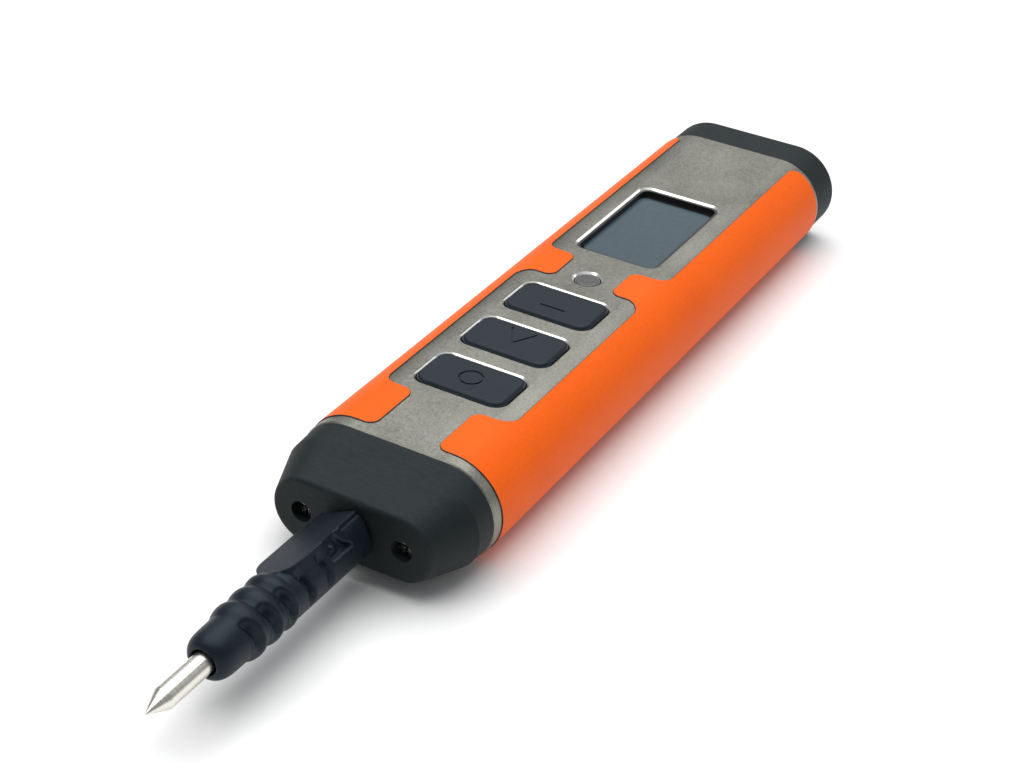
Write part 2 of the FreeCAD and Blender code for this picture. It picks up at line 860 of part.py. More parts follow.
def main_board():
    """Circuit board on the chassis's rims, drilled for its four screws."""
    body = new_body("main_board")
    plan = sketch_on(body, "board_plan", "XY", size("board_z"))
    start = chassis_front + size("board_end_gap")
    length = board_rear - start
    add_rectangle(plan, inner_width - 2 * size("board_half_gap"), length,
                  y=start + length / 2, radius=size("tab_corner"))
    pad_up(body, plan, size("board_thick"))
    holes = sketch_on(body, "board_holes", "XY", board_top)
    for y in (size("post_front_y"), size("post_rear_y")):
        for way in (-1, 1):
            add_circle(holes, size("post_thread") + 2 * size("spigot_fit"),
                       x=way * size("post_x"), y=y)
    pocket_down(body, holes, size("board_thick"))
    finish(body, "main_board")


def board_screws():
    screws = []
    reach = size("boss_length") / 2 - size("end_play")
    for row, y in (("front", size("post_front_y")), ("rear", size("post_rear_y"))):
        for side, way in (("left", -1), ("right", 1)):
            x = way * size("post_x")
            name = f"board_screw_{row}_{side}"
            head = rod(f"{name}_head", size("post_head"), size("post_head_height"),
                       (x, y, board_top), along="z")
            shank = rod(f"{name}_shank", size("post_thread"),
                        reach + size("board_thick") + size("post_head_height") / 2,
                        (x, y, size("board_z") - reach), along="z")
            screws.append(fuse(name, [head, shank]))
    finish(group("board_screws", screws), "board_screws")


def board_chips():
    """Processor, measuring amplifier and regulator on the board's underside and end."""
    under = size("board_z")
    places = [
        ("processor", (-5.0, 26.0), (10.0, 10.0, 1.4)),
        ("amplifier", (-3.0, 46.0), (6.0, 5.0, 1.6)),
        ("regulator", (4.0, 58.0), (4.0, 3.5, 1.5)),
        ("crystal", (-9.0, 58.0), (5.0, 2.4, 1.2)),
    ]
    chips = [block(name, (x, y, under - dim(height)), (width, length, height))
             for name, (x, y), (width, length, height) in places]
    finish(group("board_chips", chips), "board_chips")


def buzzer():
    body = new_body("buzzer")
    can = sketch_on(body, "buzzer_can", "XY", board_top)
    add_circle(can, size("buzzer_diameter"), y=buzzer_y)
    pad_up(body, can, size("buzzer_height"))
    hole = sketch_on(body, "buzzer_hole", "XY", board_top + size("buzzer_height"))
    add_circle(hole, size("buzzer_hole"), y=buzzer_y)
    pocket_down(body, hole, size("buzzer_height") / 4)
    finish(body, "buzzer")


def battery_cells():
    """Two cells side by side, laid opposite ways, each with its raised terminal."""
    cells = []
    rise, length = size("cell_knob_rise"), size("cell_length")
    for side, way, can_start in (("left", -1, cell_start), ("right", 1, cell_start + rise)):
        x = way * cell_x
        name = f"cell_{side}"
        can = rod(f"{name}_can", size("cell_diameter"), length - rise, (x, can_start, cell_z))
        knob = rod(f"{name}_knob", size("cell_knob"), length, (x, cell_start, cell_z))
        cells.append(fuse(name, [can, knob]))
    finish(group("battery_cells", cells), "battery_cells")


def front_contacts():
    """A sheet contact to each cell: a flat plate on the bulkhead and a bowed tongue."""
    contacts = []
    thick, side = size("contact_thick"), size("contact_side")
    start = bulkhead_start + size("bulkhead")
    for hand, way in (("left", -1), ("right", 1)):
        x = way * cell_x
        name = f"front_contact_{hand}"
        plate = block(f"{name}_plate", (x - side / 2, start, cell_z - side / 2),
                      (side, thick, side))
        tongue = rod(f"{name}_tongue", side / 2, thick + size("contact_bow"),
                     (x, start, cell_z))
        contacts.append(fuse(name, [plate, tongue]))
    finish(group("front_contacts", contacts), "front_contacts")


def rear_contact():
    """One sheet contact across both cells, which bears on the end of the rear cap's spigot."""
    thick, side, bow = size("contact_thick"), size("contact_side"), size("contact_bow")
    start = size("tube_length") - size("spigot_length") - thick
    height = spigot_height - size("spigot_wall")
    pieces = [block("rear_contact_plate", (-cell_x - side / 2, start, -height / 2),
                    (2 * cell_x + side, thick, height))]
    for hand, way in (("left", -1), ("right", 1)):
        pieces.append(rod(f"rear_contact_tongue_{hand}", side / 2, thick + bow,
                          (way * cell_x, start - bow, cell_z)))
    finish(fuse("rear_contact", pieces), "rear_contact")


# ---------------------------------------------------------------- display and indicator

def lcd_panel():
    body = new_body("lcd_panel")
    plan = sketch_on(body, "lcd_plan", "XY", glass_bottom)
    add_rectangle(plan, glass_width, glass_length, y=display_place)
    pad_up(body, plan, size("glass_thick"))
    finish(body, "lcd_panel")


def lcd_window():
    """Cover glass under the display's opening."""
    body = new_body("lcd_window")
    plan = sketch_on(body, "window_plan", "XY", window_bottom)
    lap = size("window_lap")
    add_rectangle(plan, size("display_width") + 2 * lap, size("display_length") + 2 * lap,
                  y=display_place, radius=size("display_corner"))
    pad_up(body, plan, size("window_thick"))
    finish(body, "lcd_window")


def lcd_liner():
    """Dark liner round the wall of the display's opening."""
    body = new_body("lcd_liner")
    plan = sketch_on(body, "liner_plan", "XY", window_bottom + size("window_thick"))
    for inset in (size("liner_gap"), size("liner_gap") + size("liner_wall")):
        add_rectangle(plan, size("display_width") - 2 * inset,
                      size("display_length") - 2 * inset, y=display_place,
                      radius=size("display_corner") - inset)
    pad_up(body, plan, tube_top - size("liner_drop") - window_bottom - size("window_thick"))
    finish(body, "lcd_liner")


def lcd_holder():
    """Frame on the board that holds the glass."""
    body = new_body("lcd_holder")
    plan = sketch_on(body, "holder_plan", "XY", board_top)
    wall, air = size("holder_wall"), size("glass_air")
    for grow in (wall + air, air):
        add_rectangle(plan, glass_width + 2 * grow, glass_length + 2 * grow,
                      y=display_place)
    pad_up(body, plan, glass_top - board_top)
    finish(body, "lcd_holder")


def lcd_backlight():
    body = new_body("lcd_backlight")
    plan = sketch_on(body, "backlight_plan", "XY", board_top)
    add_rectangle(plan, glass_width, glass_length - 4 * size("strip_width"), y=display_place)
    pad_up(body, plan, size("backlight_thick"))
    finish(body, "lcd_backlight")


def lcd_connectors():
    """Elastomer strips that join the glass to the board, one at each end."""
    strips = []
    for end, way in (("front", -1), ("rear", 1)):
        middle = display_place + way * (glass_length / 2 - size("strip_width"))
        strips.append(block(f"strip_{end}",
                            (-glass_width / 2 + size("holder_wall"),
                             middle - size("strip_width") / 2, board_top),
                            (glass_width - 2 * size("holder_wall"), size("strip_width"),
                             glass_bottom - board_top)))
    finish(group("lcd_connectors", strips), "lcd_connectors")


def led_lens():
    """Round lens held in its opening by a lip under the tube's wall."""
    body = new_body("led_lens")
    across = size("led_opening") - 2 * size("led_gap")
    lip_bottom = ceiling - size("led_lip_thick")
    lip = sketch_on(body, "lens_lip", "XY", lip_bottom)
    add_circle(lip, across + 2 * size("led_lip"), y=led_place)
    pad_up(body, lip, size("led_lip_thick"))
    stem = sketch_on(body, "lens_stem", "XY", lip_bottom)
    add_circle(stem, across, y=led_place)
    top = tube_top - size("led_sink")
    pad_up(body, stem, top - lip_bottom)
    dress(body, "Fillet", "lens_edge", all_at("z", top.value), size("led_edge"))
    finish(body, "led_lens")


def status_led():
    body = new_body("status_led")
    plan = sketch_on(body, "led_package", "XY", board_top)
    add_rectangle(plan, size("led_package_length"), size("led_package_width"), y=led_place)
    pad_up(body, plan, size("led_package_height"))
    finish(body, "status_led")


# ---------------------------------------------------------------- keys

def key_symbol(sketch, which, y):
    """The mark sunk into a key: a ring, a chevron or a bar."""
    line, half = size("symbol_line"), size("symbol_size") / 2
    if which == "front":
        across = size("ring_diameter")
        add_circle(sketch, across, y=y)
        add_circle(sketch, across - 2 * line, y=y)
    elif which == "middle":
        low, high = y - 0.6 * half, y + 1.2 * half
        lift = 1.9 * line
        add_polygon(sketch, [
            (-half, high),
            (0.0, low),
            (half, high),
            (half, high + lift),
            (0.0, low + lift),
            (-half, high + lift),
        ])
    else:
        add_rectangle(sketch, 2 * half, line, y=y - 0.6 * half)


def key(which, y):
    """Moulded key: a crowned button through the opening, with a lip that stops under the wall."""
    body = new_body(f"{which}_key")
    gap, lip = size("key_gap"), size("key_lip")
    width, length = size("key_opening_width"), size("key_opening_length")
    flange = sketch_on(body, f"{which}_key_flange", "XY", key_lip_bottom)
    add_rectangle(flange, width + 2 * lip, length + 2 * lip, y=y,
                  radius=size("key_corner") + lip)
    pad_up(body, flange, size("key_lip_thick"))
    button = sketch_on(body, f"{which}_key_button", "XY", key_lip_bottom)
    add_rectangle(button, width - 2 * gap, length - 2 * gap, y=y,
                  radius=size("key_corner") - gap)
    top = tube_top + size("key_rise")
    pad_up(body, button, top - key_lip_bottom)
    dress(body, "Fillet", f"{which}_key_edge", all_at("z", top.value), size("key_edge"))
    mark = sketch_on(body, f"{which}_key_mark", "XY", top)
    key_symbol(mark, which, y)
    pocket_down(body, mark, size("symbol_depth"))
    finish(body, f"{which}_key")


def key_plunger(which, y):
    """The switch's plunger, which stays against the underside of its key."""
    body = new_body(f"{which}_plunger")
    foot = sketch_on(body, f"{which}_plunger_plan", "XY", switch_top - size("plunger_sink"))
    across = size("plunger_width")
    add_rectangle(foot, across, across, y=y, radius=size("plunger_width") / 6)
    pad_up(body, foot, key_lip_bottom - switch_top + size("plunger_sink"))
    finish(body, f"{which}_plunger")


def key_switches():
    """Three square switch cases on the board, each open at the top for its plunger."""
    cases = []
    side, room = size("switch_side"), size("plunger_width") + 2 * size("plunger_fit")
    well = size("plunger_sink") + size("key_travel") + size("plunger_fit")
    for which, y in zip(key_names, key_places):
        case = block(f"{which}_switch_case", (-side / 2, y - side / 2, board_top),
                     (side, side, size("switch_height")))
        bore = block(f"{which}_switch_bore", (-room / 2, y - room / 2, switch_top - well),
                     (room, room, well))
        cases.append(cut(f"{which}_switch", case, bore))
    finish(group("key_switches", cases), "key_switches")


def key_guide():
    """Frame under the tube's wall with a window that guides each key's lip."""
    body = new_body("key_guide")
    clear = size("key_guide_gap")
    lip, width = size("key_lip"), size("key_opening_width")
    length = size("key_opening_length")
    rim = size("holder_wall")
    window_width = width + 2 * lip + 2 * clear
    window_length = length + 2 * lip + 2 * clear
    first, last = key_places[0], key_places[-1]
    plan = sketch_on(body, "guide_plan", "XY", board_top)
    add_rectangle(plan, window_width + 2 * rim, last - first + window_length + 2 * rim,
                  y=(first + last) / 2, radius=size("key_corner"))
    pad_up(body, plan, guide_top - board_top)
    windows = sketch_on(body, "guide_windows", "XY", guide_top)
    for y in key_places:
        add_rectangle(windows, window_width, window_length, y=y,
                      radius=size("key_corner") + lip)
    pocket_down(body, windows, guide_top - board_top)
    finish(body, "key_guide")


# ---------------------------------------------------------------- socket and probe

def turned(body, name, points, kind="Revolution"):
    """Solid or cut of revolution about the probe's axis through (y, radius) points."""
    sketch = sketch_on(body, name, "YZ")
    add_polygon(sketch, points)
    return revolve(body, kind, sketch)


def probe_socket():
    """Flanged socket through the front cap, blind at its rear."""
    body = new_body("probe_socket")
    face = -size("cap_length")
    outer, flange = size("socket_outer") / 2, size("socket_flange") / 2
    bore = size("socket_bore") / 2
    thick = size("socket_flange_thick")
    end = nut_start + size("nut_thick") + size("lug_thick") + size("socket_tail")
    deep = end - size("socket_end_wall")
    turned(body, "socket_section", [
        (face, bore),
        (face, flange),
        (face + thick, flange),
        (face + thick, outer),
        (end, outer),
        (end, dim(0.0)),
        (deep, dim(0.0)),
        (deep, bore),
    ])
    finish(body, "probe_socket")


def socket_nut():
    """Hexagonal nut that clamps the socket to the cap's floor."""
    prism = doc.addObject("Part::Prism", "nut_prism")
    prism.Polygon = 6
    prism.Placement = Placement(Vector(0, 0, 0), Rotation(Vector(1, 0, 0), -90))
    bind(prism, "Circumradius", size("nut_across") / 2 / math.cos(math.pi / 6))
    bind(prism, "Height", size("nut_thick"))
    bind(prism, "Placement.Base.y", nut_start)
    hole = rod("nut_hole", size("socket_outer"), size("nut_thick"), (0.0, nut_start, 0.0))
    finish(cut("socket_nut", prism, hole), "socket_nut")


def socket_lug():
    """Sheet lug behind the nut, bent back over the board."""
    body = new_body("socket_lug")
    start, thick = nut_start + size("nut_thick"), size("lug_thick")
    half = size("lug_width") / 2
    rise = board_top + thick
    ring = sketch_on(body, "lug_ring", "XZ", at_y(start))
    add_circle(ring, size("lug_outer"))
    pad_rear(body, ring, thick)
    stem = sketch_on(body, "lug_stem", "XZ", at_y(start))
    add_outline(stem, [
        (-half, dim(0.0), None),
        (half, dim(0.0), None),
        (half, rise, None),
        (-half, rise, None),
    ])
    pad_rear(body, stem, thick)
    tongue = sketch_on(body, "lug_tongue", "XY", board_top)
    add_outline(tongue, [
        (-half, start, None),
        (half, start, None),
        (half, size("lug_reach"), None),
        (-half, size("lug_reach"), None),
    ])
    pad_up(body, tongue, thick)
    pocket_round(body, "lug_hole", start, size("socket_outer"), thick)
    finish(body, "socket_lug")


def turn_with_probe(obj):
    """Rolls a probe piece about the probe's axis."""
    obj.Placement = Placement(Vector(0, 0, 0), Rotation(Vector(0, 1, 0), 0))
    bind(obj, "Placement.Rotation.Angle", -size("probe_turn"))
    return obj


def plug_cage():
    """Slotted spring sleeve on the plug, which grips the socket and lets the plug turn."""
    body = new_body("plug_cage")
    outer = size("cage_outer") / 2
    inner = outer - size("cage_wall")
    start = cage_start
    ring = sketch_on(body, "cage_ring", "XZ", at_y(start))
    add_circle(ring, 2 * outer)
    add_circle(ring, 2 * inner)
    pad_rear(body, ring, size("cage_length"))
    slots = sketch_on(body, "cage_slots", "XY", outer + SLACK)
    margin = size("cage_wall") * 4
    half = size("cage_slot") / 2
    add_outline(slots, [
        (-half, start + margin, None),
        (half, start + margin, None),
        (half, start + size("cage_length") - margin, None),
        (-half, start + size("cage_length") - margin, None),
    ])
    slot = pocket_down(body, slots, outer + SLACK)
    doc.recompute()
    pattern = body.newObject("PartDesign::PolarPattern", "cage_leaves")
    pattern.Originals = [slot]
    pattern.Axis = ([f for f in body.Origin.OriginFeatures if f.Role == "Y_Axis"][0], [""])
    pattern.Angle = 360.0
    pattern.Occurrences = 6
    body.Tip = pattern
    finish(body, "plug_cage")


def probe_plug():
    """Turned plug: a waist for the spring sleeve between two collars, with a rounded end."""
    body = new_body("probe_plug")
    waist = size("cage_outer") / 2 - size("cage_wall") - size("cage_fit")
    collar = size("plug_collar") / 2
    edge = size("plug_edge")
    front = boot_rear - size("boot_block_length") / 2
    seat = cage_start - size("cage_fit")
    seat_end = cage_start + size("cage_length") + size("cage_fit")
    tip = boot_rear + size("plug_length")
    turned(body, "plug_section", [
        (front, dim(0.0)),
        (front, collar),
        (seat, collar),
        (seat, waist),
        (seat_end, waist),
        (seat_end, collar),
        (tip - edge, collar),
        (tip, collar - edge),
        (tip, dim(0.0)),
    ])
    finish(turn_with_probe(body), "probe_plug")


def probe_joiner():
    """Brass bush inside the boot that holds the pin and the plug end to end."""
    outer, bore_plug = size("joiner_outer"), size("plug_collar")
    front = -size("pin_root_y")
    rear = boot_rear - size("boot_block_length") / 4
    middle = boot_rear - size("boot_block_length") / 2
    body = new_body("probe_joiner")
    turned(body, "joiner_section", [
        (front, size("pin_diameter") / 2),
        (front, outer / 2),
        (rear, outer / 2),
        (rear, bore_plug / 2),
        (middle, bore_plug / 2),
        (middle, size("pin_diameter") / 2),
    ])
    finish(turn_with_probe(body), "probe_joiner")


def probe_pin():
    """Straight pin with a conical point."""
    body = new_body("probe_pin")
    radius = size("pin_diameter") / 2
    root = boot_rear - size("boot_block_length") / 2
    tip = -size("pin_tip_y")
    turned(body, "pin_section", [
        (root, dim(0.0)),
        (tip, dim(0.0)),
        (tip + size("pin_cone"), radius),
        (root, radius),
    ])
    finish(turn_with_probe(body), "probe_pin")


def probe_boot():
    """Moulded grip: a squared block, three round ribs and a domed nose."""
    body = new_body("probe_boot")
    block_front = boot_rear - size("boot_block_length")
    core, neck = size("boot_core") / 2, size("nose_neck") / 2
    nose, dome = size("nose_front") / 2, -size("nose_dome_start")
    tip = -size("nose_tip_y")
    pin = size("pin_diameter") / 2
    square = sketch_on(body, "boot_block", "XZ", at_y(block_front))
    add_rectangle(square, size("boot_block_width"), size("boot_block_height"))
    pad_rear(body, square, size("boot_block_length"))
    runs_along = size("boot_block_length").value
    dress(body, "Chamfer", "boot_block_top_edges",
          lambda e: abs(e.Length - runs_along) < 1e-4 and e.CenterOfMass.z > 0,
          size("boot_block_edge"))
    underside = -size("boot_block_height").value / 2
    dress(body, "Chamfer", "boot_block_under_edges",
          lambda e: abs(e.Length - runs_along) < 1e-4
          and abs(e.CenterOfMass.z - underside) < 1e-4,
          size("boot_block_under_edge"))
    reach = (dome - tip)
    turned(body, "boot_nose", [
        (block_front + 1.0, dim(0.0)),
        (block_front + 1.0, core),
        (-size("nose_start"), neck),
        (dome, nose),
        (dome - reach * 0.36, nose * 0.945),
        (dome - reach * 0.66, nose * 0.79),
        (dome - reach * 0.88, nose * 0.60),
        (tip, pin + 0.15),
        (tip, dim(0.0)),
    ])
    first_rib = block_front - size("rib_pitch") / 2
    rib = sketch_on(body, "boot_rib", "YZ")
    crown = size("rib_diameter") / 2
    half = size("rib_round")
    add_polygon(rib, [
        (first_rib + half, dim(0.0)),
        (first_rib + half, crown - half * 0.5),
        (first_rib + half * 0.5, crown - half * 0.1),
        (first_rib, crown),
        (first_rib - half * 0.5, crown - half * 0.1),
        (first_rib - half, crown - half * 0.5),
        (first_rib - half, dim(0.0)),
    ])
    ribs = revolve(body, "Revolution", rib)
    doc.recompute()
    pattern = body.newObject("PartDesign::LinearPattern", "boot_ribs")
    pattern.Originals = [ribs]
    axis = [f for f in body.Origin.OriginFeatures if f.Role == "Y_Axis"][0]
    pattern.Direction = (axis, [""])
    pattern.Reversed = True
    pattern.Occurrences = 3
    bind(pattern, "Length", 2 * size("rib_pitch"))
    body.Tip = pattern
    joiner, plug = size("joiner_outer") / 2, size("plug_collar") / 2
    turned(body, "boot_bore", [
        (tip - SLACK, dim(0.0)),
        (tip - SLACK, pin),
        (-size("pin_root_y"), pin),
        (-size("pin_root_y"), joiner),
        (boot_rear - size("boot_block_length") / 4, joiner),
        (boot_rear - size("boot_block_length") / 4, plug),
        (boot_rear + SLACK, plug),
        (boot_rear + SLACK, dim(0.0)),
    ], kind="Groove")
    finish(turn_with_probe(body), "probe_boot")


# ---------------------------------------------------------------- places that several pieces share

contact_depth = size("contact_thick") + size("contact_bow")
cell_start = chassis_rear + size("end_play") - contact_depth - size("cell_length")
bulkhead_start = cell_start - contact_depth - size("bulkhead")
board_rear = chassis_rear - size("board_rear_gap")
buzzer_y = display_place + glass_length / 2 + size("holder_wall") + size("buzzer_diameter") * 0.7
switch_top = board_top + size("switch_height")
guide_top = key_lip_bottom + size("key_travel")
nut_start = size("cap_floor")
boot_rear = -size("cap_length") - size("boot_gap")
cage_start = boot_rear + 2.4


# ---------------------------------------------------------------- the meter

housing_tube()
colour_sleeve()
front_cap()
seal("front_cap_seal", size("seal_y"))
cap_screws("front_cap_screws",
           -size("cap_length") + size("screw_well_depth"), -1,
           chassis_front + size("insert_length"), size("front_screw_spacing"))
inserts("front_inserts", chassis_front, size("front_screw_spacing"))
rear_cap()
seal("rear_cap_seal", size("tube_length") - size("seal_y") - size("seal_width"))
cap_screws("rear_cap_screws",
           size("tube_length") + size("rear_cap_length") - size("screw_well_depth"), 1,
           chassis_rear - size("insert_length"), size("rear_screw_spacing"))
inserts("rear_inserts", chassis_rear - size("insert_length"), size("rear_screw_spacing"))
chassis()
main_board()
board_screws()
board_chips()
buzzer()
battery_cells()
front_contacts()
rear_contact()
lcd_panel()
lcd_window()
lcd_liner()
lcd_holder()
lcd_backlight()
lcd_connectors()
led_lens()
status_led()
key_guide()
key_switches()
for key_name, key_y in zip(key_names, key_places):
    key(key_name, key_y)
    key_plunger(key_name, key_y)
probe_socket()
socket_nut()
socket_lug()
plug_cage()
probe_plug()
probe_joiner()
probe_pin()
probe_boot()
doc.recompute()

# ---------------------------------------------------------------- checks and files

for obj in doc.Objects:
    if "Invalid" in obj.State or "Error" in obj.State:
        raise RuntimeError(f"{obj.Label}: {obj.State}")
for obj in finished:
    if obj.Shape.isNull() or not obj.Shape.isValid() or not obj.Shape.Solids:
        raise RuntimeError(f"{obj.Label} has no valid solid")

os.makedirs("parts", exist_ok=True)
for obj in finished:
    obj.Shape.exportStep(f"parts/{obj.Label}.step")
print(len(finished), "sub-parts written")
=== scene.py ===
import json
import math

import bmesh
import bpy
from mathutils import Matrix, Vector


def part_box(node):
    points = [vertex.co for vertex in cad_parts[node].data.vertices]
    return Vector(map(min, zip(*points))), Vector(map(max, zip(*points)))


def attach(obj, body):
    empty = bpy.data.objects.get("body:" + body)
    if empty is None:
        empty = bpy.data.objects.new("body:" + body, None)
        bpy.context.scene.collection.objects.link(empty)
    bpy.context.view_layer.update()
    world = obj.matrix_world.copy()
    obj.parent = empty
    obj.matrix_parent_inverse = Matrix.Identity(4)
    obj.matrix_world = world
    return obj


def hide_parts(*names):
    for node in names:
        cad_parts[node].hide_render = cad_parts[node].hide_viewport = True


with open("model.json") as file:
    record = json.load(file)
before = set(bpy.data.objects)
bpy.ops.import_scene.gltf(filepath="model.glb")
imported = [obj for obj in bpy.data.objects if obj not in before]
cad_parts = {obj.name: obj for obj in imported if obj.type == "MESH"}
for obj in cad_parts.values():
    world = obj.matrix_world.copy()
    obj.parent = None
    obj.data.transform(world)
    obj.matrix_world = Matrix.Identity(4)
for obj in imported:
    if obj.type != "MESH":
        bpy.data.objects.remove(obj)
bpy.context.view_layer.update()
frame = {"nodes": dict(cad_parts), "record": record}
nodes = frame["nodes"]

MM = 0.001
AXIS_Z = 0.0102                  # height of the tube's and the probe's axis, in metres
FRONT = -0.070                   # the tube's front edge along Y, in metres


# ---------------------------------------------------------------- materials

class Nodes:
    """Small helper that adds and joins shader nodes."""

    def __init__(self, name):
        self.material = bpy.data.materials.new(name)
        self.material.use_nodes = True
        self.tree = self.material.node_tree
        self.shader = self.tree.nodes["Principled BSDF"]
        self.place = self.add("ShaderNodeTexCoord").outputs["Object"]

    def add(self, kind, **settings):
        node = self.tree.nodes.new(kind)
        for key, value in settings.items():
            setattr(node, key, value)
        return node

    def join(self, source, target):
        self.tree.links.new(source, target)

    def stretched(self, scale):
        """Object coordinates multiplied by a scale for each axis."""
        mapping = self.add("ShaderNodeMapping")
        mapping.inputs["Scale"].default_value = scale
        self.join(self.place, mapping.inputs["Vector"])
        return mapping.outputs["Vector"]

    def noise(self, scale, detail, roughness, vector=None):
        node = self.add("ShaderNodeTexNoise")
        node.inputs["Scale"].default_value = scale
        node.inputs["Detail"].default_value = detail
        node.inputs["Roughness"].default_value = roughness
        self.join(vector or self.place, node.inputs["Vector"])
        return node.outputs["Fac"]

    def spread(self, value, low, high, start=0.3, end=0.7):
        """A value remapped from start..end to low..high."""
        node = self.add("ShaderNodeMapRange")
        for name, number in (("From Min", start), ("From Max", end),
                             ("To Min", low), ("To Max", high)):
            node.inputs[name].default_value = number
        self.join(value, node.inputs["Value"])
        return node.outputs["Result"]

    def math(self, operation, first, second=None):
        node = self.add("ShaderNodeMath", operation=operation)
        for socket, value in zip(node.inputs, (first, second)):
            if value is None:
                continue
            if isinstance(value, (int, float)):
                socket.default_value = value
            else:
                self.join(value, socket)
        return node.outputs[0]

    def bump(self, height, depth):
        """Relief of a depth in metres, added to what the shader has already."""
        node = self.add("ShaderNodeBump")
        node.inputs["Strength"].default_value = 1.0
        node.inputs["Distance"].default_value = depth
        self.join(height, node.inputs["Height"])
        normal = self.shader.inputs["Normal"]
        if normal.is_linked:
            self.join(normal.links[0].from_socket, node.inputs["Normal"])
        self.join(node.outputs["Normal"], normal)


def colour_mix_sockets(node):
    """The colour inputs and output of a Mix node."""
    inputs = [s for s in node.inputs if s.type == "RGBA"]
    output = [s for s in node.outputs if s.type == "RGBA"][0]
    return inputs, output


def mix_colours(n, factor, first, second):
    """A colour between two, each a tuple or a socket."""
    node = n.add("ShaderNodeMix", data_type="RGBA")
    n.join(factor, node.inputs[0])
    inputs, output = colour_mix_sockets(node)
    for socket, value in zip(inputs, (first, second)):
        if isinstance(value, tuple):
            socket.default_value = (*value, 1.0)
        else:
            n.join(value, socket)
    return output


def surface(name, dark, light, rough, metallic=0.0, grain=2500.0, depth=4e-6, stretch=None,
            rough_spread=0.06, specular=0.5, coat=0.0, patches=60.0, tint=(1.0, 1.0, 1.0)):
    """Plain moulded, painted or metal surface: colour that varies, and fine grain."""
    n = Nodes(name)
    vector = n.stretched(stretch) if stretch else n.place
    fine = n.noise(grain, 4.0, 0.6, vector)
    broad = n.noise(patches, 2.0, 0.5)
    both = n.math("ADD", n.math("MULTIPLY", fine, 0.6), n.math("MULTIPLY", broad, 0.4))
    n.join(mix_colours(n, n.spread(both, 0.0, 1.0), dark, light), n.shader.inputs["Base Color"])
    n.join(n.spread(fine, rough - rough_spread, rough + rough_spread),
           n.shader.inputs["Roughness"])
    n.shader.inputs["Metallic"].default_value = metallic
    n.shader.inputs["Specular IOR Level"].default_value = specular
    n.shader.inputs["Specular Tint"].default_value = (*tint, 1.0)
    n.shader.inputs["Coat Weight"].default_value = coat
    n.shader.inputs["Coat Roughness"].default_value = 0.25
    n.bump(fine, depth)
    return n


BEVEL_ZONE_HALF = 9.75           # the cut bevels lie within this of the middle, in mm
BEVEL_ZONE_DEPTH = 0.45          # and within this of the tube's top, in mm
FRONT_RIM = 1.0                  # the tube's front rim isn't cut bright, in mm
BEVEL_TILT = 0.9                 # a bevel's normal rises less than this
BEVEL_SHINE = 0.72               # how much roughness is taken from a bevel


def blasted_steel():
    """Bead-blasted steel with fine speckle, and bright cut bevels round the openings."""
    n = surface("blasted_steel", (0.125, 0.124, 0.106), (0.33, 0.329, 0.290), 0.40, 1.0,
                grain=2500.0, depth=14e-6, rough_spread=0.11)
    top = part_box("housing_tube")[1][2]
    place = n.add("ShaderNodeSeparateXYZ")
    n.join(n.place, place.inputs[0])
    facing = n.add("ShaderNodeSeparateXYZ")
    n.join(n.add("ShaderNodeNewGeometry").outputs["True Normal"], facing.inputs[0])
    inside = n.math("LESS_THAN", n.math("ABSOLUTE", place.outputs["X"]), BEVEL_ZONE_HALF * MM)
    high = n.math("GREATER_THAN", place.outputs["Z"], top - BEVEL_ZONE_DEPTH * MM)
    behind = n.math("GREATER_THAN", place.outputs["Y"], FRONT + FRONT_RIM * MM)
    tilted = n.math("LESS_THAN", n.math("ABSOLUTE", facing.outputs["Z"]), BEVEL_TILT)
    cut = n.math("MULTIPLY", n.math("MULTIPLY", inside, high), n.math("MULTIPLY", behind, tilted))
    base, rough = n.shader.inputs["Base Color"], n.shader.inputs["Roughness"]
    plain = base.links[0].from_socket
    n.join(mix_colours(n, cut, plain, (0.93, 0.925, 0.90)), base)
    most = n.math("SUBTRACT", 1.0, n.math("MULTIPLY", cut, BEVEL_SHINE))
    n.join(n.math("MINIMUM", rough.links[0].from_socket, most), rough)
    return n.material


GLASS_LAP = 0.8                  # how far the glass reaches under the tube's edge, in mm
PRINT_SIDE, PRINT_END = 0.65, 1.9    # printed border at the sides and ends, in mm
PRINT_CORNER = 1.9               # radius of the window's corners, in mm
PRINT_BLUR = 0.05                # half width of the print's edge, in mm


def cover_glass():
    """Dark glossy cover over the display, printed black round a rounded window."""
    n = surface("cover_glass", (0.030, 0.056, 0.072), (0.042, 0.074, 0.092), 0.22,
                grain=900.0, depth=4e-7, rough_spread=0.02, patches=45.0)
    low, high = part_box("lcd_window")
    middle = [(a + b) / 2 for a, b in zip(low, high)]
    visible = [(b - a) / 2 - GLASS_LAP * MM for a, b in zip(low, high)][:2]
    half = (visible[0] - PRINT_SIDE * MM, visible[1] - PRINT_END * MM)
    corner = PRINT_CORNER * MM
    axes = n.add("ShaderNodeSeparateXYZ")
    n.join(n.place, axes.inputs[0])
    beyond = []
    for axis in (0, 1):
        away = n.math("ABSOLUTE", n.math("SUBTRACT", axes.outputs[axis], middle[axis]))
        past = n.math("MAXIMUM", n.math("SUBTRACT", away, half[axis] - corner), 0.0)
        beyond.append(n.math("MULTIPLY", past, past))
    distance = n.math("SQRT", n.math("ADD", *beyond))
    printed = n.spread(distance, 0.0, 1.0, corner - PRINT_BLUR * MM, corner + PRINT_BLUR * MM)
    base = n.shader.inputs["Base Color"]
    shown = base.links[0].from_socket
    n.join(mix_colours(n, printed, shown, (0.0045, 0.005, 0.0055)), base)
    return n.material


